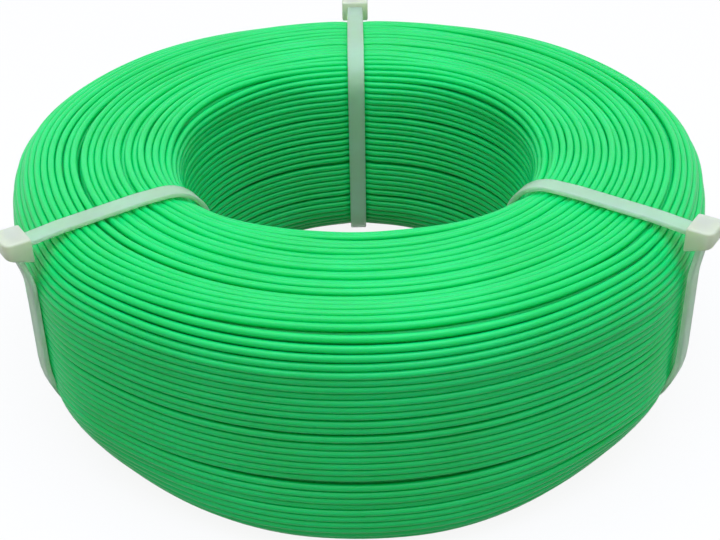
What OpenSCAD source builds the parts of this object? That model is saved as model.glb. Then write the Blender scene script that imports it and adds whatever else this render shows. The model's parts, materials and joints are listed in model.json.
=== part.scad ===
// Refill coil of 1.75 mm filament: a wound ring with no spool, bound by three cable ties.
// Millimetres, +Z up. The origin is the middle of the bore, halfway through the width.

/* [Winding] */
// Outside diameter of the winding
winding_d = 180; // [170:1:200]
// Diameter of the bore
bore_d = 88; // [76:1:100]
// Width of the winding along its axis
winding_w = 58.5; // [54:0.5:62]
// Radius of the four corners of the winding's section
corner_r = 10; // [9:0.5:11]

/* [Filament] */
// Diameter of the filament
filament_d = 1.75; // [1.6:0.05:1.75]
// Turns in the outer layer
outer_turns = 24; // [12:1:24]
// How far the outer layer runs round each outer corner, in degrees
corner_sweep = 45; // [40:1:50]
// Angle from the back tie to the two tucked ends of the outer layer, in degrees
end_offset = 60; // [45:15:75]
// Radius of the winding's lower outer corner where a tie draws it in
pinch_r = 27; // [26:0.5:30]

/* [Cable ties] */
// Width of the strap
strap_w = 4.8; // [4.4:0.1:5]
// Thickness of the strap
strap_t = 1.3; // [1.1:0.1:1.4]
// Direction of the back tie seen from above, in degrees
back_tie = 90; // [80:0.5:100]
// Direction of the left tie
left_tie = 213.5; // [205:0.5:225]
// Direction of the right tie
right_tie = 326.5; // [315:0.5:335]

/* [Tie head] */
// Length of the head, measured away from the winding
head_l = 6.2; // [6:0.1:7]
// Width of the head
head_w = 8.2; // [7.8:0.1:9]
// Height of the head at the strap's root
head_h = 6.2; // [6:0.1:6.6]
// Distance between the strap's ratchet teeth
tooth_pitch = 1.2; // [1.2:0.05:1.3]
// Depth of the strap's ratchet teeth
tooth_depth = 0.6; // [0.5:0.05:0.6]
// Angle that the pawl stands away from the teeth, in degrees
pawl_lift = 0; // [0:1:8]

/* [Hidden] */

FILAMENT = [0.10, 0.78, 0.40];
NYLON = [0.86, 0.88, 0.80];

// Winding: the plain core fills everything inside the outer layer.
seat = 0.05;
axis_r = winding_d / 2 - corner_r;
side_w = winding_w - 2 * corner_r;
loop_rings = 24;
loop_sides = 6;
sagitta = (winding_d / 2) * (1 - cos(180 / loop_rings));
layer_t = filament_d + sagitta + seat;
layer_clear = 0.7;

// Outer layer: its centre line climbs one corner, the side and the other corner.
turn_r = corner_r - filament_d / 2;
sweep_l = turn_r * corner_sweep * PI / 180;
pinch_plateau = 7;
pinch_fade = 20;
pinch_reach = 31;
pinch_clear = 0.1;
ring_count = outer_turns * loop_rings;
tuck_r = 1.8;
tuck_steps = 3;
tuck_depth = tuck_r + filament_d;

// Strap: its route runs from the head's root over the top, down the bore, back under the
// winding and up the outside, with the winding always on its left.
bore_face = bore_d / 2 + strap_t + 2 * seat;
flat_face = winding_w / 2 + seat;
side_face = winding_d / 2 + 0.8;
under_r = pinch_r - 3;
root_drop = 1;
root_stub = 1;
head_in = winding_d / 2 - 0.6;
head_out = head_in + head_l;
head_top = flat_face - root_drop + strap_t + 1.35;
head_bottom = head_top - head_h;
head_taper = 2.2;
tail_face = winding_d / 2 + 2.1;
tail_top = head_top + 0.3;
tail_bend = head_bottom - 0.2;
recess_r = corner_r + 1;
notch_w = strap_w + 0.4;
route = [
    [head_in, flat_face - root_drop],
    [head_in - root_stub, flat_face - root_drop],
    [axis_r, flat_face],
    [bore_face, flat_face],
    [bore_face, -flat_face],
    [side_face, -flat_face],
    [tail_face, tail_bend],
    [tail_face, tail_top]
];
route_radii = [0, 0, 6, recess_r, recess_r, under_r, 6, 0];

// Ratchet: the strap's tail passes up through the slot, and the pawl catches its teeth.
slot_w = strap_w + 0.3;
slot_out = tail_face + strap_t + 0.15;
slot_in = tail_face - 1.8;
flare = 0.6;
mesh_gap = 0.3;
tooth_run = tooth_pitch * 0.8;
pawl_w = strap_w - 0.4;
pawl_pivot = [tail_face - 1.2, head_bottom + 1.2];
foot_r = 0.45;
pawl_front = tail_face - 0.3;
pawl_tip = tail_face + 0.28;
pawl_back = slot_in + 0.65;
first_tooth = head_bottom + 4.2;
pawl_teeth = 2;
rack_low = under_r + 1 - flat_face;
rack_lean = (tail_face - side_face) / (tail_bend + flat_face);
bend_clear = 1.5;

function unit(v) = v / norm(v);
function left_of(v) = [-v.y, v.x];
function right_of(v) = [v.y, -v.x];
function turned(v, angle) = [v.x * cos(angle) - v.y * sin(angle), v.x * sin(angle) + v.y * cos(angle)];
function heading(path, i) = unit(path[min(i + 1, len(path) - 1)] - path[min(i, len(path) - 2)]);
function bend(u, v) = atan2(u.x * v.y - u.y * v.x, u * v);
function reversed(list) = [for (i = [len(list) - 1 : -1 : 0]) list[i]];

// A path moved to its right by a distance, corner by corner.
function shifted(path, distance) = [
    for (i = [0 : len(path) - 1])
        let (side = right_of(heading(path, max(i - 1, 0))) + right_of(heading(path, i)))
        path[i] + side * distance * 2 / (side * side)
];

// A path that only turns left, with each corner replaced by an arc.
function rounded(path, radii) = [
    for (i = [0 : len(path) - 1])
        let (u = heading(path, max(i - 1, 0)))
        let (angle = bend(u, heading(path, i)))
        let (start = path[i] - u * radii[i] * tan(angle / 2))
        let (centre = start + left_of(u) * radii[i])
        let (steps = angle > 0.01 ? ceil(angle / 9) : 0)
        for (k = [0 : steps])
            centre + turned(start - centre, steps > 0 ? angle * k / steps : 0)
];

function grown(radii, distance) = [for (r = radii) r > 0 ? r + distance : 0];

// How far a tie draws the winding in at an angle: 1 beside the tie, 0 between two ties.
function away(angle, tie) = abs((angle - tie + 540) % 360 - 180);
function nearest_tie(angle) = min([for (tie = [back_tie, left_tie, right_tie]) away(angle, tie)]);
function pinch(angle) = max(0, min(1, 1 - (nearest_tie(angle) - pinch_plateau) / pinch_fade));

// The outer layer climbs the lower corner, the side and the upper corner. The lower corner's
// radius grows towards each tie. A climb is given as a share of its whole length, from 0 to 1.
function low_r(angle) = corner_r + (pinch_r - corner_r) * pinch(angle);
function low_sweep_l(angle) = (low_r(angle) - filament_d / 2) * corner_sweep * PI / 180;
function straight_l(angle) = side_w + corner_r - low_r(angle);
function climb_l(angle) = low_sweep_l(angle) + straight_l(angle) + sweep_l;
function climb_slope(angle, share) =
    let (s = share * climb_l(angle), low = low_sweep_l(angle), high = low + straight_l(angle))
    s < low ? (s / low - 1) * corner_sweep
    : s < high ? 0
    : (s - high) / sweep_l * corner_sweep;
function climb_height(angle, share) =
    let (s = share * climb_l(angle) - low_sweep_l(angle))
    max(0, min(straight_l(angle), s)) + low_r(angle) - winding_w / 2;
function climb_r(angle, share) =
    share * climb_l(angle) < low_sweep_l(angle) ? low_r(angle) - filament_d / 2 : turn_r;
function outward(angle, slope) = [cos(slope) * cos(angle), cos(slope) * sin(angle), sin(slope)];
function upward(angle, slope) = [-sin(slope) * cos(angle), -sin(slope) * sin(angle), cos(slope)];
function along(angle) = [-sin(angle), cos(angle), 0];
function turn_angle(i) = back_tie + end_offset + i * 360 / loop_rings;
function turn_slope(i) = climb_slope(turn_angle(i), i / ring_count);
function turn_centre(i) =
    let (angle = turn_angle(i), r = climb_r(angle, i / ring_count), hub = winding_d / 2 - filament_d / 2 - r)
    [hub * cos(angle), hub * sin(angle), climb_height(angle, i / ring_count)] + r * outward(angle, turn_slope(i));

// One ring of the tube: its points lie round the centre in the plane of u and w.
function ring(centre, u, w) = [
    for (k = [0 : loop_sides - 1])
        centre + filament_d / 2 * (cos(k * 360 / loop_sides) * u + sin(k * 360 / loop_sides) * w)
];
function turn_ring(i) =
    let (angle = turn_angle(i), slope = turn_slope(i))
    ring(turn_centre(i), outward(angle, slope), upward(angle, slope));

// The end of the layer dives into the core: a quarter bend, then one diameter straight.
// way is -1 at the start of the tube and 1 at its end.
function tuck_ring(i, way, turned_by, deeper) =
    let (angle = turn_angle(i), slope = turn_slope(i))
    let (out = outward(angle, slope), ahead = way * along(angle))
    ring(
        turn_centre(i) + ahead * tuck_r * sin(turned_by) - out * (tuck_r * (1 - cos(turned_by)) + deeper),
        out * cos(turned_by) + ahead * sin(turned_by),
        upward(angle, slope)
    );
function tuck(i, way) = concat(
    [for (k = [1 : tuck_steps]) tuck_ring(i, way, 90 * k / tuck_steps, 0)],
    [tuck_ring(i, way, 90, filament_d)]
);
function turn_gap(rings) = min([
    for (i = [0 : ring_count - loop_rings - 2])
        for (j = [i + loop_rings - 1 : i + loop_rings + 1])
            for (a = rings[i])
                for (b = rings[j])
                    norm(a - b)
]);

module rounded_section(inset) {
    r = corner_r - inset;
    for (x = [bore_d / 2 + corner_r, axis_r])
        for (y = [-side_w / 2, side_w / 2])
            translate([x, y])
                circle(r = r, $fn = 96);
    translate([bore_d / 2 + corner_r, -side_w / 2 - r])
        square([axis_r - bore_d / 2 - corner_r, side_w + 2 * r]);
    translate([bore_d / 2 + inset, -side_w / 2])
        square([winding_d / 2 - bore_d / 2 - 2 * inset, side_w]);
}

// The channel that the outer layer lies in: the side, and a wedge of each outer corner.
module layer_channel() {
    end = corner_sweep + (filament_d / 2 + layer_clear) / turn_r * 180 / PI;
    reach = 3 * corner_r;
    difference() {
        polygon([
            [axis_r, -side_w / 2],
            [axis_r + reach * cos(end), -side_w / 2 - reach * sin(end)],
            [axis_r + 2 * reach, -side_w / 2],
            [axis_r + 2 * reach, side_w / 2],
            [axis_r + reach * cos(end), side_w / 2 + reach * sin(end)],
            [axis_r, side_w / 2]
        ]);
        rounded_section(layer_t);
    }
}

// The winding's lower outer corner as a tie draws it in.
module pinched_corner(inset) {
    r = pinch_r - inset;
    start = bore_d / 2 + corner_r;
    translate([winding_d / 2 - pinch_r, pinch_r - winding_w / 2])
        circle(r = r, $fn = 96);
    translate([start, inset - winding_w / 2])
        square([winding_d / 2 - pinch_r - start, pinch_r]);
    translate([start, pinch_r - winding_w / 2])
        square([winding_d / 2 - inset - start, winding_w]);
}

// What the drawn-in corner leaves out of the core beside each tie, with its outer layer's channel.
module pinch_cut() {
    end = corner_sweep + (filament_d / 2 + layer_clear) / pinch_r * 180 / PI;
    hub = [winding_d / 2 - pinch_r, pinch_r - winding_w / 2];
    reach = 3 * pinch_r;
    difference() {
        translate([hub.x, -winding_w])
            square([reach, winding_w]);
        pinched_corner(pinch_clear);
    }
    difference() {
        polygon([
            hub,
            hub + reach * [cos(end), -sin(end)],
            hub + [2 * reach, 0],
            hub + [2 * reach, corner_r],
            hub + [0, corner_r]
        ]);
        pinched_corner(layer_t + pinch_clear);
    }
}

module in_tie_plane(width) {
    rotate([90, 0, 0])
        linear_extrude(width, center = true)
            children();
}

// Everything outside the strap's inner face, where the tie bites into the winding.
module strap_notch() {
    in_tie_plane(notch_w)
        difference() {
            translate([bore_d / 4, -winding_w])
                square([winding_d, 2 * winding_w]);
            polygon(rounded(shifted(route, -seat), grown(route_radii, -seat)));
        }
}

// A pocket round one tucked end of the outer layer.
module tuck_pocket(i, way) {
    angle = turn_angle(i);
    slope = turn_slope(i);
    width = filament_d + 0.5;
    length = tuck_r + width / 2 + 1;
    translate(turn_centre(i))
        rotate([0, -slope, angle])
            translate([-tuck_depth, way < 0 ? -length + 1 : -1, -width / 2])
                cube([tuck_depth + 1, length, width]);
}

module filament_core() {
    color(FILAMENT)
        difference() {
            rotate(back_tie)
                rotate_extrude($fn = 180)
                    difference() {
                        rounded_section(0);
                        layer_channel();
                    }
            for (angle = [back_tie, left_tie, right_tie]) {
                rotate(angle)
                    strap_notch();
                rotate(angle - pinch_reach)
                    rotate_extrude(angle = 2 * pinch_reach, $fn = 180)
                        pinch_cut();
            }
            tuck_pocket(0, -1);
            tuck_pocket(ring_count, 1);
        }
}

// The outer layer: one unbroken tube through all its turns, tucked in at both ends.
module filament_outer_layer() {
    turns = [for (i = [0 : ring_count]) turn_ring(i)];
    rings = concat(reversed(tuck(0, -1)), turns, tuck(ring_count, 1));
    last = len(rings) - 1;
    echo(least_gap_between_turns_mm = turn_gap(turns));
    walls = [
        for (i = [0 : last - 1])
            for (k = [0 : loop_sides - 1])
                let (a = i * loop_sides + k, b = i * loop_sides + (k + 1) % loop_sides)
                each [[a, b, b + loop_sides], [a, b + loop_sides, a + loop_sides]]
    ];
    caps = [
        for (k = [1 : loop_sides - 2])
            each [[0, k + 1, k], [last * loop_sides, last * loop_sides + k, last * loop_sides + k + 1]]
    ];
    color(FILAMENT)
        polyhedron(points = [for (r = rings) each r], faces = concat(walls, caps));
}

// Saw teeth cut into the strap's winding side, from one point to another along its tail.
module rack(from, to) {
    forward = unit(to - from);
    deep = right_of(forward) * tooth_depth;
    for (s = [0 : tooth_pitch : norm(to - from) - tooth_run])
        polygon([
            from + forward * s,
            from + forward * (s + tooth_run),
            from + forward * (s + tooth_run) + deep
        ]);
}

// The band of one tie, drawn tight round the winding, with its tail cut off above the head.
module tie_strap() {
    tail_start = [side_face + rack_lean * (rack_low + flat_face), rack_low];
    tail_end = [tail_face - rack_lean * bend_clear, tail_bend - bend_clear];
    slot_start = [tail_face, first_tooth + mesh_gap - tooth_run - 3 * tooth_pitch];
    color(NYLON)
        in_tie_plane(strap_w)
            difference() {
                polygon(concat(
                    rounded(route, route_radii),
                    reversed(rounded(shifted(route, strap_t), grown(route_radii, strap_t)))
                ));
                rack(tail_start, tail_end);
                rack(slot_start, [tail_face, tail_top]);
            }
}

// The moulded head: tapered below, with round outer corners and a slot for the tail.
module tie_head() {
    side = [
        [head_in, head_bottom], [head_out, head_bottom + head_taper],
        [head_out, head_top], [head_in, head_top]
    ];
    plan = [
        [head_in, -head_w / 2], [head_out, -head_w / 2],
        [head_out, head_w / 2], [head_in, head_w / 2]
    ];
    color(NYLON)
        difference() {
            intersection() {
                in_tie_plane(head_w)
                    polygon(rounded(side, [0, 0.8, 0.8, 0]));
                translate([0, 0, head_bottom - 1])
                    linear_extrude(head_h + 2)
                        polygon(rounded(plan, [0, 1.6, 1.6, 0]));
            }
            translate([slot_in, -slot_w / 2, head_bottom - 1])
                cube([slot_out - slot_in, slot_w, head_h + 2]);
            in_tie_plane(slot_w)
                polygon([
                    [slot_out - flare, head_bottom - 1],
                    [slot_out + flare, head_bottom - 1],
                    [slot_out + flare, head_bottom + 1],
                    [slot_out - seat, head_bottom + 2.2]
                ]);
        }
}

// The pawl: a tongue that stands on its hinge at the slot's foot and leans on the teeth.
module tie_pawl() {
    tips = [
        for (k = [0 : pawl_teeth - 1])
            let (z = first_tooth + k * tooth_pitch)
            each [
                [pawl_front, z - tooth_run * (pawl_tip - pawl_front) / tooth_depth],
                [pawl_tip, z],
                [pawl_front, z]
            ]
    ];
    top = first_tooth + (pawl_teeth - 1) * tooth_pitch;
    outline = concat(
        [pawl_pivot - [foot_r, 0], pawl_pivot + [foot_r, 0]],
        tips,
        [[pawl_back, top], [slot_in + 0.2, pawl_pivot.y + 1]]
    );
    color(NYLON)
        translate([pawl_pivot.x, 0, pawl_pivot.y])
            rotate([0, -pawl_lift, 0])
                translate([-pawl_pivot.x, 0, -pawl_pivot.y])
                    in_tie_plane(pawl_w) {
                        polygon(outline);
                        translate(pawl_pivot)
                            circle(r = foot_r, $fn = 32);
                    }
}

filament_core();
filament_outer_layer();
rotate(back_tie) tie_strap();  // back_tie_strap
rotate(back_tie) tie_head();  // back_tie_head
rotate(back_tie) tie_pawl();  // back_tie_pawl
rotate(left_tie) tie_strap();  // left_tie_strap
rotate(left_tie) tie_head();  // left_tie_head
rotate(left_tie) tie_pawl();  // left_tie_pawl
rotate(right_tie) tie_strap();  // right_tie_strap
rotate(right_tie) tie_head();  // right_tie_head
rotate(right_tie) tie_pawl();  // right_tie_pawl
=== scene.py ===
"""Looks of a spool-less refill coil: a wound ring of filament bound by three cable ties.

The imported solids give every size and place. The plain core and its outer layer are replaced by
wound strands that press on each other, and each tie's band and head by moulded ones.
"""

import json
import logging
import math
from dataclasses import dataclass
from enum import Enum
from functools import cached_property
from typing import Callable, Sequence

import bpy
import numpy as np
from mathutils import Matrix, Vector

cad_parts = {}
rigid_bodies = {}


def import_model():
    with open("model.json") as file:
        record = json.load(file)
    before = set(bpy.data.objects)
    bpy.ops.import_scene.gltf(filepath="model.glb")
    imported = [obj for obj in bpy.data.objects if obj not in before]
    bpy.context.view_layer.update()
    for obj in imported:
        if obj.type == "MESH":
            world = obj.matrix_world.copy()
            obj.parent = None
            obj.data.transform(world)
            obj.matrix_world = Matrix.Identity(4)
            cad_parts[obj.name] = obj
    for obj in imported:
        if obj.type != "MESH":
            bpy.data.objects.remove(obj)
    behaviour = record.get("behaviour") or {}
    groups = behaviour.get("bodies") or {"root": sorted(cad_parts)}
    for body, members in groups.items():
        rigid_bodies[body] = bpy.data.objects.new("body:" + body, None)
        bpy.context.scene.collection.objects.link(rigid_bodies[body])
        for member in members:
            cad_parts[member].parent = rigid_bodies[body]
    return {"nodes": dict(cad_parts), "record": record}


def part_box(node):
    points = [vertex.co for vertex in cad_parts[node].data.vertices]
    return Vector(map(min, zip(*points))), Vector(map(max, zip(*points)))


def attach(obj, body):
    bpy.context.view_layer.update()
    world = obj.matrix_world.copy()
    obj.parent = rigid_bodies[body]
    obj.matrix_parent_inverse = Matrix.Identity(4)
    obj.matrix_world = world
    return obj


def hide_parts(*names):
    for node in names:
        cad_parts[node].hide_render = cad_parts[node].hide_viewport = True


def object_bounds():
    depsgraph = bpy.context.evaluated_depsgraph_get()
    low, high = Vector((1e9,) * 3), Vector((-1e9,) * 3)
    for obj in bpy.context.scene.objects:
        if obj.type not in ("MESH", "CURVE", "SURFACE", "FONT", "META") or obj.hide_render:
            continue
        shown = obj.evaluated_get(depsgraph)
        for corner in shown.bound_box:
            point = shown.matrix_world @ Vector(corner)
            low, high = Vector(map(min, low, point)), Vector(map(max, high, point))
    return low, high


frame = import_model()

log = logging.getLogger("refill_coil")
MM = 0.001
CAD_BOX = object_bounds()
Colour = tuple[float, float, float]


# -------------------- shader maths

class Shade:
    """A shader socket that can be used in Python expressions."""

    def __init__(self, tree: bpy.types.NodeTree, socket: bpy.types.NodeSocket) -> None:
        """Wraps one output socket of a node tree."""
        self.tree = tree
        self.socket = socket

    def _math(self, operation: str, *values: "Shade | float") -> "Shade":
        """Adds a Math node and returns its value."""
        inputs = dict(enumerate(values))
        return Nodes(self.tree).add("ShaderNodeMath", {"operation": operation}, inputs)

    def __add__(self, other: "Shade | float") -> "Shade":
        """Returns the sum."""
        return self._math("ADD", self, other)

    __radd__ = __add__

    def __sub__(self, other: "Shade | float") -> "Shade":
        """Returns the difference."""
        return self._math("SUBTRACT", self, other)

    def __mul__(self, other: "Shade | float") -> "Shade":
        """Returns the product."""
        return self._math("MULTIPLY", self, other)

    __rmul__ = __mul__


class Nodes:
    """Adds nodes to one material's tree."""

    def __init__(self, tree: bpy.types.NodeTree) -> None:
        """Keeps the tree that the nodes go into."""
        self.tree = tree

    def add(self, kind: str, settings: dict | None = None, inputs: dict | None = None,
            output: int | str = 0) -> Shade:
        """Adds one node and links or sets its inputs.

        Args:
            kind: the node's type.
            settings: the node's own settings; "stops" sets a colour ramp's.
            inputs: values or links by socket name or number.
            output: the socket that is returned.

        Returns:
            The chosen output, ready for an expression.
        """
        node = self.tree.nodes.new(kind)
        for key, value in (settings or {}).items():
            if key == "stops":
                self._set_stops(node.color_ramp, value)
            else:
                setattr(node, key, value)
        for key, value in (inputs or {}).items():
            if isinstance(value, Shade):
                self.tree.links.new(value.socket, node.inputs[key])
            else:
                node.inputs[key].default_value = value
        return Shade(self.tree, node.outputs[output])

    @staticmethod
    def _set_stops(ramp: bpy.types.ColorRamp, stops: Sequence[tuple[float, Colour]]) -> None:
        """Gives a colour ramp its stops.

        Args:
            ramp: the ramp.
            stops: places from 0 to 1 with their colours.
        """
        while len(ramp.elements) < len(stops):
            ramp.elements.new(1.0)
        for element, (place, colour) in zip(ramp.elements, stops):
            element.position = place
            element.color = (*colour, 1.0)

    def ramp(self, place: Shade, stops: Sequence[tuple[float, Colour]]) -> Shade:
        """Returns the colour at a place between 0 and 1."""
        return self.add("ShaderNodeValToRGB", {"stops": stops}, {"Fac": place})

    def noise(self, scale: float, detail: float = 2.0, roughness: float = 0.5) -> Shade:
        """Adds noise on the object's own coordinates.

        Args:
            scale: how fine it is.
            detail: how many finer octaves it has.
            roughness: how strong they are.

        Returns:
            The noise, from 0 to 1.
        """
        place = self.add("ShaderNodeTexCoord", output="Object")
        return self.add("ShaderNodeTexNoise", {}, {
            "Vector": place, "Scale": scale, "Detail": detail, "Roughness": roughness})

    def bump(self, height: Shade, distance: float, strength: float = 1.0) -> Shade:
        """Returns a normal bent by a height map."""
        return self.add("ShaderNodeBump", {}, {
            "Height": height, "Distance": distance, "Strength": strength})


# -------------------- finishes

@dataclass(frozen=True)
class Plastic:
    """A plastic in two close tones, with a fine grain and some light inside it.

    Clouds of the two tones and the grain are noise on the object's own coordinates. scatter is how
    far red, green and blue light travel inside, as shares of scatter_reach.
    """

    title: str
    pale: Colour
    deep: Colour
    cloud_scale: float
    grain_scale: float
    grain_height: float
    grain_strength: float
    roughness: float
    roughness_spread: float
    ior: float
    subsurface: float
    scatter: Colour
    scatter_reach: float
    specular: float = 0.5
    transmission: float = 0.0

    def material(self) -> bpy.types.Material:
        """Returns the node material."""
        material = new_material(self.title)
        nodes = Nodes(material.node_tree)
        cloud = nodes.noise(self.cloud_scale)
        grain = nodes.noise(self.grain_scale, 3.0, 0.6)
        shader = node_of(material.node_tree, "BSDF_PRINCIPLED")
        wire(shader, "Base Color", nodes.ramp(cloud, [(0.35, self.deep), (0.65, self.pale)]))
        wire(shader, "Roughness", self.roughness + self.roughness_spread * (grain - 0.5))
        wire(shader, "Normal", nodes.bump(grain, self.grain_height, self.grain_strength))
        settings = {
            "IOR": self.ior, "Specular IOR Level": self.specular,
            "Subsurface Weight": self.subsurface, "Subsurface Radius": self.scatter,
            "Subsurface Scale": self.scatter_reach, "Transmission Weight": self.transmission}
        for socket, value in settings.items():
            shader.inputs[socket].default_value = value
        return material


@dataclass(frozen=True)
class FilamentPlastic(Plastic):
    """Extruded green plastic: softly glossy, with a little light inside it."""

    title: str = "green_filament"
    pale: Colour = (0.0, 0.70, 0.155)
    deep: Colour = (0.0, 0.63, 0.125)
    cloud_scale: float = 34.0
    grain_scale: float = 420.0
    grain_height: float = 0.02 * MM
    grain_strength: float = 0.35
    roughness: float = 0.38
    roughness_spread: float = 0.10
    ior: float = 1.46
    subsurface: float = 0.75
    scatter: Colour = (0.3, 1.0, 0.45)
    scatter_reach: float = 2.4 * MM
    specular: float = 0.33


@dataclass(frozen=True)
class ThinNylon(Plastic):
    """Natural nylon in a thin band: milky and translucent, satin from the mould, with painted green
    light from the filament in its tones.
    """

    title: str = "natural_nylon_painted_green"
    # Painted light: these tones are tinted with the green light that the filament sends through and
    # onto the band, on top of the band's real translucency.
    pale: Colour = (0.68, 0.92, 0.70)
    deep: Colour = (0.64, 0.87, 0.61)
    cloud_scale: float = 120.0
    grain_scale: float = 1600.0
    grain_height: float = 0.015 * MM
    grain_strength: float = 0.4
    roughness: float = 0.42
    roughness_spread: float = 0.12
    ior: float = 1.5
    subsurface: float = 0.65
    scatter: Colour = (1.0, 1.1, 0.8)
    scatter_reach: float = 1.6 * MM
    transmission: float = 0.55


@dataclass(frozen=True)
class ThickNylon(ThinNylon):
    """The same nylon in a solid head: whiter, with less painted green light than the band, because
    less light passes through it.
    """

    title: str = "thick_nylon"
    pale: Colour = (0.83, 0.92, 0.66)
    deep: Colour = (0.81, 0.89, 0.58)
    transmission: float = 0.30


def new_material(name: str) -> bpy.types.Material:
    """Makes a node material that holds one Principled shader.

    Args:
        name: its name.

    Returns:
        The material.
    """
    material = bpy.data.materials.new(name)
    material.use_nodes = True
    return material


def node_of(tree: bpy.types.NodeTree, kind: str) -> bpy.types.Node:
    """Returns a tree's node of one type."""
    return next(node for node in tree.nodes if node.type == kind)


def wire(node: bpy.types.Node, socket: str, value: Shade) -> None:
    """Links a value to one of a node's sockets."""
    value.tree.links.new(value.socket, node.inputs[socket])


# -------------------- modelling helpers

def deselect_all() -> None:
    """Leaves nothing selected, so that an operator acts only on what is chosen next."""
    for thing in bpy.context.view_layer.objects.selected:
        thing.select_set(False)


def make_active(thing: bpy.types.Object) -> None:
    """Selects one object alone and makes it active.

    Args:
        thing: the object.
    """
    deselect_all()
    thing.select_set(True)
    bpy.context.view_layer.objects.active = thing


def settle(thing: bpy.types.Object, smooth_angle: float = 40.0) -> bpy.types.Object:
    """Puts an object's place into its mesh, points its faces outwards and smooths it.

    Args:
        thing: the mesh object.
        smooth_angle: edges flatter than this are shaded smooth, in degrees.

    Returns:
        The same object.
    """
    make_active(thing)
    bpy.ops.object.transform_apply(location=True, rotation=True, scale=True)
    bpy.ops.object.mode_set(mode="EDIT")
    bpy.ops.mesh.select_all(action="SELECT")
    bpy.ops.mesh.remove_doubles(threshold=1e-6)
    bpy.ops.mesh.normals_make_consistent(inside=False)
    bpy.ops.object.mode_set(mode="OBJECT")
    bpy.ops.object.shade_smooth_by_angle(angle=math.radians(smooth_angle))
    return thing


def select_edges(thing: bpy.types.Object, chosen: Callable[[Vector, Vector], bool]) -> None:
    """Selects the edges of the object in edit mode that pass a test.

    Args:
        thing: the object being edited.
        chosen: takes an edge's two ends and says whether it is selected.
    """
    bpy.ops.mesh.select_mode(type="EDGE")
    bpy.ops.mesh.select_all(action="DESELECT")
    bpy.ops.object.mode_set(mode="OBJECT")
    spots = [v.co.copy() for v in thing.data.vertices]
    for edge in thing.data.edges:
        edge.select = chosen(*(spots[i] for i in edge.vertices))
    bpy.ops.object.mode_set(mode="EDIT")


def apply_modifier(thing: bpy.types.Object, kind: str, **settings: object) -> None:
    """Adds a modifier and applies it.

    Args:
        thing: the object it works on.
        kind: the modifier's type.
        settings: its settings, by name.
    """
    make_active(thing)
    modifier = thing.modifiers.new(kind.lower(), kind)
    for key, value in settings.items():
        setattr(modifier, key, value)
    bpy.ops.object.modifier_apply(modifier=modifier.name)


def dress(thing: bpy.types.Object, material: bpy.types.Material) -> None:
    """Gives an object one material."""
    thing.data.materials.clear()
    thing.data.materials.append(material)


def hand_over(thing: bpy.types.Object, body: str, slot: str, *nodes: str) -> None:
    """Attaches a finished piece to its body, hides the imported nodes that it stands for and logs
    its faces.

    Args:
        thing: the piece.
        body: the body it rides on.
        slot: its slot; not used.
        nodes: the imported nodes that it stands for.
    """
    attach(thing, body)
    if nodes:
        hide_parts(*nodes)
    log.info("%s: %d faces on %s", thing.name, len(thing.data.polygons), body)


# -------------------- where the ties are

class TieName(Enum):
    """The three ties, with their directions round the ring in degrees."""

    BACK = 90.0
    LEFT = 213.5
    RIGHT = 326.5

    @property
    def word(self) -> str:
        """The tie's name as its nodes have it."""
        return f"{self.name.lower()}_tie"


def away_from(azimuth: np.ndarray, other: float) -> np.ndarray:
    """Returns how far directions are from another one, from -180 to 180 degrees."""
    return (azimuth - other + 180) % 360 - 180


def away_from_ties(azimuth: np.ndarray) -> np.ndarray:
    """Returns how far directions are from the nearest tie, in degrees."""
    return np.min([np.abs(away_from(azimuth, tie.value)) for tie in TieName], axis=0)


def beside_a_tie(azimuth: np.ndarray, plateau: float, fade: float) -> np.ndarray:
    """Returns 1 beside a tie, 0 away from all ties and a smooth change between.

    Args:
        azimuth: directions from the axis, in degrees.
        plateau: how far from a tie the value stays 1, in degrees.
        fade: over how many further degrees it falls to 0.

    Returns:
        One value for each direction.
    """
    share = np.clip(1 - (away_from_ties(azimuth) - plateau) / fade, 0, 1)
    return share * share * (3 - 2 * share)


# -------------------- the winding

@dataclass(frozen=True)
class Corners:
    """Radii of the section's four corners."""

    outer_low: float
    outer_high: float
    inner_high: float
    inner_low: float

    def walk(self) -> list[float]:
        """Returns the radii in the order of the walk: low and high outside, high and low inside."""
        return [self.outer_low, self.outer_high, self.inner_high, self.inner_low]

    def less(self, amount: float) -> "Corners":
        """Returns the corners of an outline that lies deeper by an amount."""
        return Corners(*(radius - amount for radius in self.walk()))


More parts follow.
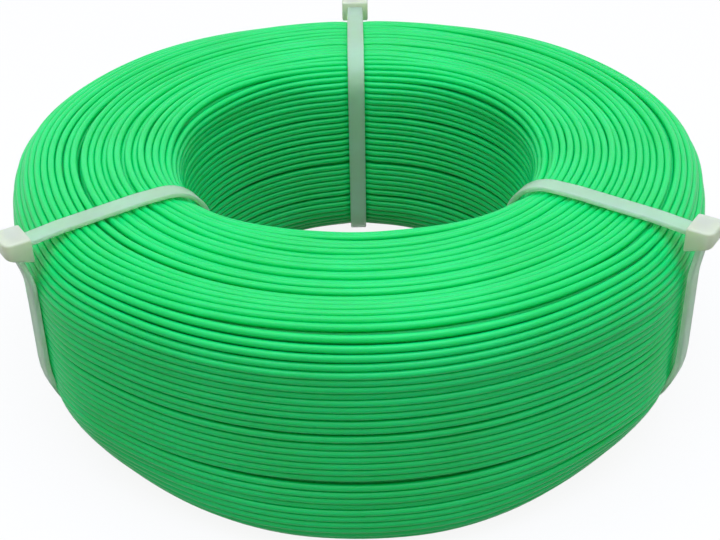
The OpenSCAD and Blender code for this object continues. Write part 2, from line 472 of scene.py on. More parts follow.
@dataclass(frozen=True)
class Section:
    """The rounded rectangle that the surface strands' centre lines lie on."""

    inner: float
    outer: float
    half_width: float
    corners: Corners

    @property
    def middle(self) -> float:
        """Radius of the middle of the two faces."""
        return (self.inner + self.outer) / 2

    def corner_at(self, spots: np.ndarray) -> np.ndarray:
        """Finds the corner in each point's quarter of the section.

        Args:
            spots: points, as r and z.

        Returns:
            The corners' radii.
        """
        outside, high = spots[..., 0] > self.middle, spots[..., 1] > 0
        outer = np.where(high, self.corners.outer_high, self.corners.outer_low)
        inner = np.where(high, self.corners.inner_high, self.corners.inner_low)
        return np.where(outside, outer, inner)

    def lengths(self) -> list[float]:
        """Returns the lengths of the walk's nine stretches, from the middle of the bottom face."""
        half = (self.outer - self.inner) / 2
        low, high, in_high, in_low = self.corners.walk()
        arcs = [radius * math.pi / 2 for radius in self.corners.walk()]
        side, bore = 2 * self.half_width - low - high, 2 * self.half_width - in_high - in_low
        top = 2 * half - high - in_high
        return [half - low, arcs[0], side, arcs[1], top, arcs[2], bore, arcs[3], half - in_low]

    def knots(self) -> np.ndarray:
        """Returns how far along the walk each stretch begins and ends."""
        return np.concatenate([[0.0], np.cumsum(self.lengths())])

    def facing(self, along: np.ndarray) -> np.ndarray:
        """Finds the outward normals at places on the walk.

        Args:
            along: how far along the walk they are.

        Returns:
            The normals, as r and z.
        """
        turned = np.repeat([-90, 0, 90, 180, 270], 2)
        angle = np.radians(np.interp(along, self.knots(), turned))
        return np.stack([np.cos(angle), np.sin(angle)], axis=-1)

    def place(self, along: np.ndarray, depth: np.ndarray) -> np.ndarray:
        """Finds points on the walk or under it.

        Args:
            along: how far along the walk they are.
            depth: how deep under it they are.

        Returns:
            The points, as r and z.
        """
        low, high, in_high, in_low = self.corners.walk()
        knots = self.knots()
        radii = [low, low, low, high, high, in_high, in_high, in_low, in_low, in_low]
        sides = [0, 1, 1, 1, 1, -1, -1, -1, -1, 0]
        levels = [-1, -1, -1, 1, 1, 1, 1, -1, -1, -1]
        half = (self.outer - self.inner) / 2
        centre_r = [self.middle + way * (half - radius) for way, radius in zip(sides, radii)]
        centre_z = [way * (self.half_width - radius) for way, radius in zip(levels, radii)]
        centre = np.stack([np.interp(along, knots, c) for c in (centre_r, centre_z)], axis=-1)
        return centre + self.facing(along) * (np.interp(along, knots, radii) - depth)[..., None]

    def held_inside(self, spots: np.ndarray) -> np.ndarray:
        """Puts points that stick out of the section back on it.

        Args:
            spots: points, as r and z.

        Returns:
            The points, with those moved.
        """
        corner = self.corner_at(spots)[..., None]
        half = np.array([(self.outer - self.inner) / 2, self.half_width])
        offset = spots - np.array([self.middle, 0.0])
        reach = np.maximum(np.abs(offset) - half + corner, 0.0)
        length = np.linalg.norm(reach, axis=-1, keepdims=True)
        excess = np.maximum(length - corner, 0.0)
        return spots - np.sign(offset) * reach / np.maximum(length, 1e-9) * excess

    def drawn_in(self, spots: np.ndarray, tight: Corners, share: np.ndarray) -> np.ndarray:
        """Moves points as the section's corners are drawn in to larger radii.

        Points near a corner slide towards the centre of its larger arc.

        Args:
            spots: points, as r and z.
            tight: the corners when they are fully drawn in.
            share: how far they are drawn in at each point, from 0 to 1.

        Returns:
            The moved points, as r and z.
        """
        moved = spots
        ways = [(1, -1), (1, 1), (-1, 1), (-1, -1)]
        half = np.array([(self.outer - self.inner) / 2, self.half_width])
        for way, small, big in zip(ways, self.corners.walk(), tight.walk()):
            hub = np.array([self.middle, 0.0]) + (half - big) * way
            arm = (spots - hub) * way
            length = np.maximum(np.linalg.norm(arm, axis=-1), 1e-9)
            across, up = arm[..., 0] / length, arm[..., 1] / length
            to_face = big / np.maximum(np.maximum(across, up), 1e-9)
            slant = (across + up) * (big - small)
            square = slant ** 2 - 2 * (big - small) ** 2 + small ** 2
            to_arc = slant + np.sqrt(np.maximum(square, 0))
            reach = np.where(np.minimum(across, up) * to_face > big - small, to_arc, to_face)
            shrink = 1 + share * (big / reach - 1)
            inside = ((across > 0) & (up > 0))[..., None]
            moved = np.where(inside, hub + arm * shrink[..., None] * way, moved)
        return moved


@dataclass(frozen=True)
class Parting:
    """A place where two neighbouring surface strands stand apart and show a dark groove.

    turn is its place across the strands, counted in turns, and azimuth and reach, in degrees, say
    where round the ring it is.
    """

    turn: float
    width: float
    azimuth: float
    reach: float
    rows: float = 3.0

    def push(self, turn: np.ndarray, azimuth: np.ndarray) -> np.ndarray:
        """Moves strands sideways, away from the parting.

        Args:
            turn: the strands' places across, counted in turns.
            azimuth: their directions from the axis, in degrees.

        Returns:
            How far they move.
        """
        beside = turn - self.turn
        away = away_from(azimuth, self.azimuth)
        fading = np.exp(-(away / self.reach) ** 2 - (beside / self.rows) ** 2)
        return self.width / 2 * np.sign(beside) * fading


@dataclass(frozen=True)
class Swell:
    """A place where the winding's side bulges out, or is drawn in by a tie."""

    azimuth: float
    amount: float
    reach: float

    def push(self, azimuth: np.ndarray) -> np.ndarray:
        """Returns how far the side stands out at each direction."""
        return self.amount * np.exp(-(away_from(azimuth, self.azimuth) / self.reach) ** 2)


@dataclass(frozen=True)
class Shell:
    """One layer of strands laid all round the section, as one unbroken spiral.

    turns, sinking and wander hold one value for each of five stretches of the walk: the outer half
    of the bottom, the side, the top, the bore and the inner half of the bottom. Sinking is how deep
    strands lie under their neighbours, in millimetres, and wander how far they stray sideways, in
    spacings.
    """

    turns: tuple[int, int, int, int, int]
    depth: float
    sinking: tuple[float, float, float, float, float]
    wander: tuple[float, float, float, float, float]
    seed: int
    backwards: bool = False

    @property
    def count(self) -> int:
        """All the turns of the shell."""
        return sum(self.turns)

    def starts(self) -> list[int]:
        """Returns the turn at which each stretch begins, and the last turn's end."""
        return [int(n) for n in np.concatenate([[0], np.cumsum(self.turns)])]

    def spread(self, turn: np.ndarray, values: Sequence[float]) -> np.ndarray:
        """Returns a stretch's value at each turn, changing steadily from stretch to stretch."""
        starts = np.array(self.starts())
        return np.interp(turn, (starts[:-1] + starts[1:]) / 2, values)


@dataclass(frozen=True)
class Drift:
    """Smooth noise along a spiral of strands.

    per_turn is how many times it may change within a turn, and across how many neighbouring turns
    share its changes; 0 leaves them apart.
    """

    per_turn: float
    across: float = 0.0

    def along(self, rng: np.random.Generator, turns: int, steps: int) -> np.ndarray:
        """Draws the noise.

        Args:
            rng: the seeded generator.
            turns: the spiral's turns.
            steps: samples in one turn.

        Returns:
            turns x steps values with a standard deviation of 1.
        """
        waves = np.fft.rfft(rng.standard_normal(turns * steps))
        rate = np.fft.rfftfreq(turns * steps, 1.0 / steps)
        smooth = np.fft.irfft(waves * np.exp(-(rate / self.per_turn) ** 2), turns * steps)
        noise = smooth.reshape(turns, steps)
        if self.across > 0:
            shift = np.arange(-4, 5)
            weight = np.exp(-(shift / self.across) ** 2)
            noise = sum(w * np.roll(noise, s, axis=0) for w, s in zip(weight, shift))
        return noise / noise.std()


@dataclass(frozen=True)
class Fineness:
    """How finely strands are drawn: points along one turn and faces round the strand."""

    points: int
    faces: int


@dataclass
class Winding:
    """The ring of filament: its surface strands, the strands under them and the heart."""

    body: str = "coil"
    slot: str = "filament"
    strand: float = 1.75 * MM
    pitch: float = 1.9 * MM
    corners: Corners = Corners(7.5 * MM, 10.5 * MM, 6.2 * MM, 9.5 * MM)
    surface: Shell = Shell(
        (12, 28, 22, 28, 11), 0.0, (0.4, 0.08, 0.62, 0.02, 0.4), (0.3, 0.16, 0.46, 0.03, 0.3), 7)
    under: Shell = Shell(
        (10, 27, 21, 26, 9), 1.6 * MM, (0.1, 0.1, 0.1, 0.1, 0.1), (0.2, 0.2, 0.3, 0.2, 0.2), 19,
        backwards=True)

    # How strands stray when they are laid
    own_drift: Drift = Drift(1.6)
    own_share: float = 0.6
    shared_drift: Drift = Drift(1.1, 1.6)
    shared_share: float = 0.8
    sinking_drift: Drift = Drift(1.5)
    flattened: float = 0.85
    flattened_beside: tuple[float, float] = (4.0, 14.0)
    partings: tuple[Parting, ...] = (
        Parting(21.25, 1.2 * MM, 271.0, 34.0), Parting(77.5, 0.8 * MM, 90.0, 70.0))

    # How they press on each other
    steps: int = 180
    rounds: int = 300
    near: float = 3.2
    touching: float = 1.004
    yielding: float = 0.42
    pull: float = 0.05
    pulled_rounds: float = 0.8
    stiffness: float = 0.30

    # What the ties and the ring's weight do to the section
    tied_corners: Corners = Corners(18.5 * MM, 14.7 * MM, 12.0 * MM, 12.0 * MM)
    tie_reach: float = 49.0
    opening: float = 1.3 * MM
    front_opening: float = 0.6 * MM
    sag: Swell = Swell(270.0, 0.5 * MM, 45.0)
    swells: tuple[Swell, ...] = (
        Swell(198.0, -1.5 * MM, 18.0), Swell(222.0, 0.9 * MM, 9.0),
        Swell(319.0, 0.8 * MM, 9.0), Swell(346.0, -0.9 * MM, 15.0))
    groove_reach: float = 3.4 * MM
    strap_bite: float = 0.55 * MM
    bore_bite: float = 1.45 * MM
    corner_bite: float = 2.4 * MM

    # How it is drawn
    on_side: Fineness = Fineness(220, 12)
    on_top: Fineness = Fineness(240, 12)
    in_bore: Fineness = Fineness(180, 10)
    on_bottom: Fineness = Fineness(180, 10)
    hidden: Fineness = Fineness(120, 6)
    heart: Fineness = Fineness(120, 96)
    heart_depth: float = 1.0 * MM

    @cached_property
    def section(self) -> Section:
        """The section through the strands' centres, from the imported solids' boxes."""
        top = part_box("filament_core")[1].z
        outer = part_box("filament_outer_layer")[1].x
        hub = next(m for m in frame["record"]["mounts"] if m["name"] == "hub_bore")
        bore = hub["dims"]["r_mm"] * MM
        half = self.strand / 2
        return Section(bore + half, outer - half, top - half, self.corners.less(half))

    def stretches(self) -> np.ndarray:
        """Returns how far along the walk each of a shell's five stretches begins and ends."""
        knots = self.section.knots()
        corners = (knots[1:-1:2] + knots[2:-1:2]) / 2
        return np.concatenate([[0.0], corners, knots[-1:]])

    def laid(self, shell: Shell) -> np.ndarray:
        """Lays a shell's strands, before they press on each other.

        Args:
            shell: the layer of strands.

        Returns:
            Their places, as turns x steps x (r, z).
        """
        rng = np.random.default_rng(shell.seed)
        turn = (np.arange(shell.count * self.steps) / self.steps).reshape(shell.count, self.steps)
        azimuth = turn * 360.0 % 360.0
        if shell.backwards:
            turn = shell.count - turn
        own = self.own_drift.along(rng, shell.count, self.steps)
        shared = self.shared_drift.along(rng, shell.count, self.steps)
        sideways = self.own_share * own + self.shared_share * shared
        stray = self.pitch * shell.spread(turn, shell.wander) * sideways
        if shell.depth == 0:
            stray += sum(parting.push(turn, azimuth) for parting in self.partings)
        ends = self.stretches()
        along = np.interp(turn, shell.starts(), ends) + stray
        sink = 1.0 + np.clip(self.sinking_drift.along(rng, shell.count, self.steps), -1, 1)
        left = 1 - self.flattened * beside_a_tie(azimuth, *self.flattened_beside)
        depth = shell.depth + shell.spread(turn, shell.sinking) * MM * sink * left
        return self.section.place(np.clip(along, 0, ends[-1]), depth)

    def neighbours(self, laid: np.ndarray) -> tuple[np.ndarray, np.ndarray]:
        """Finds the pairs of strands that may come to touch.

        Args:
            laid: the strands' first places, turns x steps x (r, z).

        Returns:
            The rows of each pair's two strands.
        """
        middles = laid.mean(axis=1)
        apart = np.linalg.norm(middles[:, None] - middles[None, :], axis=-1)
        return np.nonzero(np.triu(apart < self.near * self.strand, 1))

    def pressed(self) -> list[np.ndarray]:
        """Presses the strands of both shells apart until none lies inside another.

        Every step round the ring is a flat packing of round strands, drawn in by the ties:
        overlapping strands push each other away, each is pulled back to where it was laid,
        stiffness keeps it smooth along its length, and nothing leaves the section.

        Returns:
            One array per shell, turns x steps x (r, z).
        """
        laid = np.concatenate([self.laid(shell) for shell in (self.surface, self.under)])
        azimuth = np.arange(self.steps) * 360.0 / self.steps
        one, other = self.neighbours(laid)
        spots = laid.copy()
        first = self.surface.count
        for turn in range(self.rounds):
            bound = self.bound(azimuth, spots)
            apart = bound[one] - bound[other]
            distance = np.maximum(np.linalg.norm(apart, axis=-1, keepdims=True), 1e-6)
            overlap = np.clip(self.strand * self.touching - distance, 0.0, None)
            push = apart / distance * overlap * self.yielding
            np.add.at(spots, one, push)
            np.add.at(spots, other, -push)
            spots = self.section.held_inside(spots)
            easing = max(0.0, 1.0 - turn / (self.rounds * self.pulled_rounds))
            spots += self.pull * easing * (laid - spots)
            for rows in (spots[:first], spots[first:]):
                line = rows.reshape(-1, 2)
                line[1:-1] += self.stiffness * ((line[:-2] + line[2:]) / 2 - line[1:-1])
        return [spots[:first], spots[first:]]

    def bound(self, azimuth: np.ndarray, spots: np.ndarray) -> np.ndarray:
        """Shapes strands as the ties hold them: full between the ties, drawn in at them.

        Args:
            azimuth: directions from the axis, in degrees, one for each place along the strands.
            spots: the strands' places there, as r and z.

        Returns:
            The strands' new places, as r and z.
        """
        section = self.section
        share = beside_a_tie(azimuth, 0, self.tie_reach)
        spots = section.drawn_in(spots, self.tied_corners.less(self.strand / 2), share)
        outwards = np.clip((spots[..., 0] - section.inner) / (section.outer - section.inner), 0, 1)
        turned = np.radians(azimuth)
        opened = self.opening * np.cos(turned) ** 2
        opened += self.front_opening * np.clip(-np.sin(turned), 0, 1) ** 2
        radius = spots[..., 0] + opened * (1 - outwards) ** 3
        radius = radius + sum(swell.push(azimuth) for swell in self.swells) * outwards ** 2
        sunk = self.sag.push(azimuth) * np.clip(-spots[..., 1] / section.half_width, 0, 1) ** 3
        return np.stack([radius, spots[..., 1] - sunk], axis=-1)

    def grooved(self, azimuth: np.ndarray, spots: np.ndarray) -> np.ndarray:
        """Presses the bands' shallow grooves into strands.

        Args:
            azimuth: directions from the axis, in degrees.
            spots: the strands' places there, as r and z.

        Returns:
            The strands' new places, as r and z.
        """
        section = self.section
        radius, height = spots[..., 0], spots[..., 1]
        beside = np.radians(away_from_ties(azimuth)) * radius / self.groove_reach
        groove = 1 / (1 + beside ** 4)
        outwards = np.clip((radius - section.inner) / (section.outer - section.inner), 0, 1)
        rise = np.clip(height / section.half_width, -1, 1)
        low_outside = np.clip(outwards - 0.4, 0, 1) * np.clip(-rise, 0, 1) ** 2
        cornered = self.corner_bite * groove * low_outside
        radius = radius + self.bore_bite * groove * (1 - outwards) ** 6 - cornered
        height = height - self.strap_bite * groove * np.clip(rise, 0, 1) ** 6 + cornered
        return np.stack([radius, height], axis=-1)

    def line(self, strands: np.ndarray, first: int, last: int, samples: int) -> np.ndarray:
        """Follows one stretch of a shell's strand.

        Args:
            strands: the shell's strands, turns x steps x (r, z).
            first: the turn at which the stretch begins.
            last: the turn at which it ends.
            samples: points in one turn.

        Returns:
            Points of its centre line in space.
        """
        flat = strands.reshape(-1, 2)
        known = np.arange(len(flat)) / self.steps
        end = min(last * samples + 1, int(known[-1] * samples))
        wanted = np.arange(first * samples, end) / samples
        azimuth = (wanted * 360.0) % 360.0
        spots = np.stack([np.interp(wanted, known, flat[:, i]) for i in (0, 1)], axis=-1)
        for _ in range(3):
            spots[1:-1] += 0.5 * ((spots[:-2] + spots[2:]) / 2 - spots[1:-1])
        spots = self.grooved(azimuth, self.bound(azimuth, spots))
        (radius, height), angle = spots.T, np.radians(azimuth)
        return np.stack([radius * np.cos(angle), radius * np.sin(angle), height], axis=-1)

    def tube(self, name: str, strands: np.ndarray, spans: Sequence[tuple[int, int]],
             fineness: Fineness) -> bpy.types.Object:
        """Draws stretches of a shell's strand as round filament.

        Args:
            name: the piece's name.
            strands: the shell's strands, turns x steps x (r, z).
            spans: the first and last turn of each stretch.
            fineness: how finely they are drawn.

        Returns:
            One mesh object.
        """
        curve = bpy.data.curves.new(name, "CURVE")
        curve.dimensions = "3D"
        curve.bevel_depth = self.strand / 2
        curve.bevel_resolution = (fineness.faces - 4) // 2
        curve.use_fill_caps = True
        curve.twist_mode = "Z_UP"
        for first, last in spans:
            points = self.line(strands, first, last, fineness.points)
            spline = curve.splines.new("POLY")
            spline.points.add(len(points) - 1)
            spline.points.foreach_set("co", np.c_[points, np.ones(len(points))].ravel())
        piece = bpy.data.objects.new(name, curve)
        bpy.context.collection.objects.link(piece)
        make_active(piece)
        bpy.ops.object.convert(target="MESH")
        bpy.ops.object.shade_smooth()
        return bpy.context.view_layer.objects.active

    def core(self) -> bpy.types.Object:
        """Shapes the ring under the strands, which closes the view between them."""
        section, turns, sides = self.section, self.heart.points, self.heart.faces
        along = np.linspace(0, section.knots()[-1], sides, endpoint=False)
        outline = section.place(along, np.full_like(along, self.under.depth + self.heart_depth))
        verts = []
        for k in range(turns):
            azimuth = np.full(sides, k * 360.0 / turns)
            ring = self.grooved(azimuth, self.bound(azimuth, outline))
            angle = math.radians(k * 360.0 / turns)
            verts += [(r * math.cos(angle), r * math.sin(angle), z) for r, z in ring]
        faces = []
        for here in range(turns):
            a, b = here * sides, (here + 1) % turns * sides
            for k in range(sides):
                after = (k + 1) % sides
                faces.append((a + k, b + k, b + after, a + after))
        mesh = bpy.data.meshes.new("winding_heart")
        mesh.from_pydata(verts, [], faces)
        piece = bpy.data.objects.new("winding_heart", mesh)
        bpy.context.collection.objects.link(piece)
        return settle(piece, 180)

    def build(self, material: bpy.types.Material) -> None:
        """Args:
            material: the filament's.
        """
        surface, under = self.pressed()
        at = self.surface.starts()
        pieces = [
            self.tube("side_turns", surface, [(at[1], at[2])], self.on_side),
            self.tube("top_turns", surface, [(at[2], at[3])], self.on_top),
            self.tube("bore_turns", surface, [(at[3], at[4])], self.in_bore),
            self.tube("bottom_turns", surface, [(at[0], at[1]), (at[4], at[5])], self.on_bottom),
            self.tube("under_turns", under, [(0, self.under.count)], self.hidden),
            self.core(),
        ]
        for piece in pieces:
            dress(piece, material)
        hand_over(pieces[0], self.body, self.slot, "filament_outer_layer")
        hand_over(pieces[1], self.body, self.slot, "filament_core")
        for piece in pieces[2:]:
            hand_over(piece, self.body, self.slot)


# -------------------- the cable ties

@dataclass
class CableTie:
    """One cable tie: a band drawn round the winding, its ratchet head and its pawl."""

    name: TieName
    width: float = 4.8 * MM
    thickness: float = 1.3 * MM
    edge: float = 0.34 * MM

    # The band's route over the winding
    winding_r: float = 90.0 * MM
    stand_off: float = 0.3 * MM
    bite: float = 0.5 * MM
    slack: float = 0.75 * MM
    root_overlap: float = 0.3 * MM
    root_drop: float = 0.7 * MM
    crown: float = 0.5 * MM
    crown_from_head: float = 8.0 * MM
    crown_from_bore: float = 17.0 * MM
    rim_drop: float = 0.1 * MM
    top_bend: float = 26.0 * MM
    bore_bend: float = 11.0 * MM
    low_bend: float = 25.5 * MM
    side_bend: float = 16.0 * MM
    side_end: float = 6.5 * MM
    tail_bend: float = 4.0 * MM
    tail_start: float = 2.4 * MM
    tail_sunk: float = 0.25 * MM
    bend_step: float = 7.0

    # The head
    taper: float = 2.2 * MM
    rounding: float = 1.8 * MM
    head_edge: float = 0.5 * MM
    roof: float = 0.45 * MM
    slot_play: float = 0.08 * MM
    slot_front: float = 0.06 * MM
    chamber_play: float = 0.2 * MM
    chamber_overlap: float = 0.3 * MM

    def turn(self) -> Matrix:
        """Returns the rotation from the tie's own plane, +X outwards, to its place."""
        return Matrix.Rotation(math.radians(self.name.value), 4, "Z")

    def local_box(self, part: str) -> tuple[Vector, Vector]:
        """Measures one of the tie's nodes in the tie's own plane.

        Args:
            part: the node's name without the tie's.

        Returns:
            Its lowest and highest corners.
        """
        back = self.turn().inverted()
        spots = [back @ v.co for v in frame["nodes"][f"{self.name.word}_{part}"].data.vertices]
        low = Vector(tuple(min(s[i] for s in spots) for i in range(3)))
        high = Vector(tuple(max(s[i] for s in spots) for i in range(3)))
        return low, high

    def route(self) -> list[tuple[float, float, float]]:
        """Returns the band's middle line as (r, z, radius of the bend there)."""
        low, high = self.local_box("strap")
        head_low, head_high = self.local_box("head")
        half = self.thickness / 2
        bottom = low.z + half
        top = -bottom - self.bite
        bore = low.x + half
        tail = high.x - half
        side = self.winding_r + half + self.stand_off
        return [
            (head_low.x + self.root_overlap, top - self.root_drop, 0),
            (head_low.x - self.crown_from_head, top, self.top_bend),
            (bore + self.crown_from_bore, top + self.crown, self.top_bend),
            (bore, top - self.rim_drop, self.bore_bend),
            (bore, bottom, self.bore_bend),
            (side + self.slack, bottom, self.low_bend),
            (side, head_low.z - self.side_end, self.side_bend),
            (tail, head_low.z + self.tail_start, self.tail_bend),
            (tail, head_high.z - self.tail_sunk, 0),
        ]

    def band_line(self) -> list[tuple[Vector, float]]:
        """Returns points of the band's middle line with its heading, in degrees, at each."""
        route = self.route()
        corners = [Vector((r, z)) for r, z, _ in route]
        ways = [(b - a).normalized() for a, b in zip(corners, corners[1:])]
        line: list[tuple[Vector, float]] = []
        for i, (corner, (_, _, radius)) in enumerate(zip(corners, route)):
            before, after = ways[max(i - 1, 0)], ways[min(i, len(ways) - 1)]
            heading = math.atan2(before.y, before.x)
            bend = math.atan2(before.x * after.y - before.y * after.x, before.dot(after))
            if abs(bend) < 1e-4 or radius == 0:
                line.append((corner, math.degrees(heading + bend / 2)))
                continue
            start = corner - before * (radius * math.tan(abs(bend) / 2))
            centre = start + Vector((-before.y, before.x)) * math.copysign(radius, bend)
            arm = start - centre
            steps = max(2, math.ceil(abs(math.degrees(bend)) / self.bend_step))
            for k in range(steps + 1):
                turned = bend * k / steps
                spot = centre + Matrix.Rotation(turned, 2) @ arm
                line.append((spot, math.degrees(heading + turned)))
        return line

    def band(self) -> bpy.types.Object:
        """Extrudes the band's rounded section along its route, step by step."""
        line = self.band_line()
        start, heading = line[0]
        deselect_all()
        bpy.ops.mesh.primitive_plane_add(size=1.0)
        band = bpy.context.active_object
        band.name = f"{self.name.word}_band"
        bpy.ops.object.mode_set(mode="EDIT")
        bpy.ops.mesh.select_all(action="SELECT")
        bpy.ops.transform.resize(value=(self.thickness, self.width, 1.0))
        bpy.ops.mesh.bevel(offset=self.edge, segments=2, affect="VERTICES")
        bpy.ops.object.mode_set(mode="OBJECT")
        normal = Vector((math.cos(math.radians(heading)), 0, math.sin(math.radians(heading))))
        across = Vector((-normal.z, 0, normal.x))
        frame_of_band = Matrix((across, Vector((0, 1, 0)), normal)).transposed().to_4x4()
        frame_of_band.translation = Vector((start.x, 0, start.y))
        band.data.transform(frame_of_band)
        bpy.ops.object.mode_set(mode="EDIT")
        bpy.ops.mesh.select_mode(type="FACE")
        bpy.ops.mesh.select_all(action="SELECT")
        here, facing = start, heading
        for spot, aim in line[1:]:
            step = spot - here
            bpy.ops.mesh.extrude_region_move(TRANSFORM_OT_translate={"value": (step.x, 0, step.y)})
            bpy.ops.transform.rotate(
                value=math.radians(aim - facing), orient_axis="Y",
                center_override=(spot.x, 0, spot.y))
            here, facing = spot, aim
        bpy.ops.object.mode_set(mode="OBJECT")
        band.matrix_world = self.turn()
        return settle(band, 50)

    def block(self, low: Vector, high: Vector) -> bpy.types.Object:
        """Makes a plain block, which cuts a hollow.

        Args:
            low: its lowest corner.
            high: its highest corner.

        Returns:
            The block.
        """
        deselect_all()
        bpy.ops.mesh.primitive_cube_add(size=1.0, location=(low + high) / 2)
        block = bpy.context.active_object
        block.scale = high - low
        return settle(block)

    def hollows(self) -> list[bpy.types.Object]:
        """Makes the blocks that cut the tail's slot and, under a thin roof, the pawl's chamber."""
        pawl_low, _ = self.local_box("pawl")
        _, strap_high = self.local_box("strap")
        head_low, head_high = self.local_box("head")
        half = self.width / 2 + self.slot_play
        face = strap_high.x - self.thickness
        below, above = head_low.z - MM, head_high.z - self.roof
        slot = self.block(
            Vector((face - self.slot_front, -half, below)),
            Vector((strap_high.x + self.slot_play, half, above)))
        chamber = self.block(
            Vector((pawl_low.x - self.chamber_play, -half, below)),
            Vector((face + self.chamber_overlap, half, above)))
        return [slot, chamber]

    def head(self) -> bpy.types.Object:
        """Shapes the head from a block: tapered below, round in plan, with a slot up into it."""
        low, high = self.local_box("head")
        middle = (low + high) / 2
        deselect_all()
        bpy.ops.mesh.primitive_cube_add(size=1.0, location=middle)
        head = bpy.context.active_object
        head.name = f"{self.name.word}_ratchet_head"
        head.scale = high - low
        bpy.ops.object.transform_apply(location=True, rotation=True, scale=True)
        bpy.ops.object.mode_set(mode="EDIT")
        select_edges(head, lambda a, b: min(a.x, b.x) > middle.x and max(a.z, b.z) < middle.z)
        bpy.ops.transform.translate(value=(0, 0, self.taper))
        select_edges(head, lambda a, b: min(a.x, b.x) > middle.x and abs(a.z - b.z) > 0.1 * MM)
        bpy.ops.mesh.bevel(offset=self.rounding, segments=5, affect="EDGES")
        bpy.ops.object.mode_set(mode="OBJECT")
        apply_modifier(
            head, "BEVEL", width=self.head_edge, segments=3,
            limit_method="ANGLE", angle_limit=math.radians(40))
        for hollow in self.hollows():
            apply_modifier(
                head, "BOOLEAN", operation="DIFFERENCE", solver="EXACT", object=hollow)
            bpy.data.objects.remove(hollow)
        head.matrix_world = self.turn()
        return settle(head, 35)

    def build(self, thin: bpy.types.Material, thick: bpy.types.Material) -> None:
        """Args:
            thin: the nylon of the band, which lets the green behind it through and also has that
                green light painted into its tones.
            thick: the nylon of the head and of the pawl in it.
        """
        band, head = self.band(), self.head()
        dress(band, thin)
        for piece in (head, frame["nodes"][f"{self.name.word}_pawl"]):
            dress(piece, thick)
        hand_over(band, "coil", "nylon", f"{self.name.word}_strap")
        hand_over(head, "coil", "nylon", f"{self.name.word}_head")


# -------------------- stage

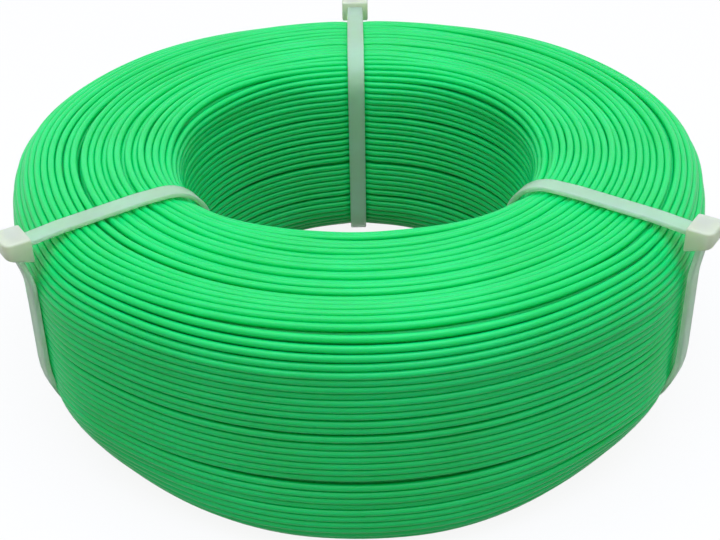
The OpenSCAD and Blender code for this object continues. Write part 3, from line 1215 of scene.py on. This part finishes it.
@dataclass
class Studio:
    """A white table under a broad soft light, seen from above the front of the ring."""

    eye: tuple[float, float, float] = (0.0, -0.281, 0.16975)
    look_down: float = 33.016
    turn: float = -0.038
    roll: float = -0.949
    lens: float = 60.43
    key_place: tuple[float, float, float] = (0.0, -0.14, 0.8)
    key_tilt: float = 10.0
    key_size: tuple[float, float] = (1.1, 0.8)
    key_energy: float = 6.6
    key_colour: Colour = (0.93, 1.0, 1.36)
    sky: float = 0.46
    table_size: float = 6.0
    table_bounce: float = 0.22
    table_white: float = 0.94
    table_glow: float = 0.90

    def seen(self, nodes: Nodes) -> Shade:
        """Tells what the camera sees, also through glass or in a mirror, from light.

        Args:
            nodes: the tree that asks.

        Returns:
            1 for what is seen and 0 for light.
        """
        path = nodes.add("ShaderNodeLightPath", output="Is Camera Ray")
        outputs = path.socket.node.outputs
        mirrored = Shade(path.tree, outputs["Is Glossy Ray"])
        through = Shade(path.tree, outputs["Is Transmission Ray"])
        return nodes.add("ShaderNodeMath", {"operation": "ADD", "use_clamp": True}, {
            0: path + mirrored, 1: through})

    def floor(self) -> None:
        """Lays the white table under the ties' undersides."""
        deselect_all()
        bpy.ops.mesh.primitive_plane_add(size=self.table_size, location=(0, 0, CAD_BOX[0].z))
        floor = settle(bpy.context.active_object)
        floor.name = "white_table"
        material = new_material("white_table")
        nodes = Nodes(material.node_tree)
        shader = node_of(material.node_tree, "BSDF_PRINCIPLED")
        shader.inputs["Roughness"].default_value = 0.8
        shader.inputs["Specular IOR Level"].default_value = 0.1
        seen = self.seen(nodes)
        tone = self.table_bounce + (self.table_white - self.table_bounce) * seen
        grey = nodes.add("ShaderNodeCombineColor", {}, {channel: tone for channel in range(3)})
        wire(shader, "Base Color", grey)
        glow = nodes.add("ShaderNodeEmission", {}, {"Color": (1, 1, 1, 1), "Strength": 1.0})
        body = Shade(material.node_tree, shader.outputs["BSDF"])
        mixed = nodes.add("ShaderNodeMixShader", {}, {0: self.table_glow * seen, 1: body, 2: glow})
        wire(node_of(material.node_tree, "OUTPUT_MATERIAL"), "Surface", mixed)
        dress(floor, material)

    def sky_light(self) -> None:
        """Surrounds the ring with an even light that the camera sees as white."""
        world = bpy.data.worlds.new("white_room")
        bpy.context.scene.world = world
        world.use_nodes = True
        nodes = Nodes(world.node_tree)
        background = node_of(world.node_tree, "BACKGROUND")
        background.inputs["Color"].default_value = (1, 1, 1, 1)
        wire(background, "Strength", self.sky + (1.0 - self.sky) * self.seen(nodes))

    def softbox(self) -> None:
        """Hangs the broad key light above the back of the ring."""
        bpy.ops.object.light_add(
            type="AREA", location=self.key_place, rotation=(math.radians(self.key_tilt), 0, 0))
        lamp = bpy.context.active_object
        lamp.name = "overhead_softbox"
        lamp.data.shape = "RECTANGLE"
        lamp.data.size, lamp.data.size_y = self.key_size
        lamp.data.color = self.key_colour
        lamp.data.energy = self.key_energy

    def camera(self) -> None:
        """Places the camera."""
        data = bpy.data.cameras.new("camera")
        data.sensor_width = 36.0
        data.lens = self.lens
        data.clip_start = 0.01
        data.clip_end = 20.0
        camera = bpy.data.objects.new("camera", data)
        bpy.context.collection.objects.link(camera)
        camera.matrix_world = (
            Matrix.Translation(self.eye)
            @ Matrix.Rotation(math.radians(self.turn), 4, "Z")
            @ Matrix.Rotation(math.radians(90 - self.look_down), 4, "X")
            @ Matrix.Rotation(math.radians(self.roll), 4, "Z"))
        bpy.context.scene.camera = camera

    def build(self) -> None:
        """Sets up the stage."""
        bpy.context.scene.view_settings.view_transform = "Standard"
        self.camera()
        self.floor()
        self.sky_light()
        self.softbox()


def main() -> None:
    """Builds the stage, the winding and the ties, in that order."""
    logging.basicConfig(level=logging.INFO, format="%(name)s: %(message)s")
    Studio().build()
    Winding().build(FilamentPlastic().material())
    thin, thick = ThinNylon().material(), ThickNylon().material()
    ties = [
        CableTie(TieName.BACK),
        CableTie(TieName.LEFT, stand_off=-0.3 * MM),
        CableTie(TieName.RIGHT, stand_off=0.9 * MM)]
    for tie in ties:
        tie.build(thin, thick)


if __name__ == "__main__":
    main()
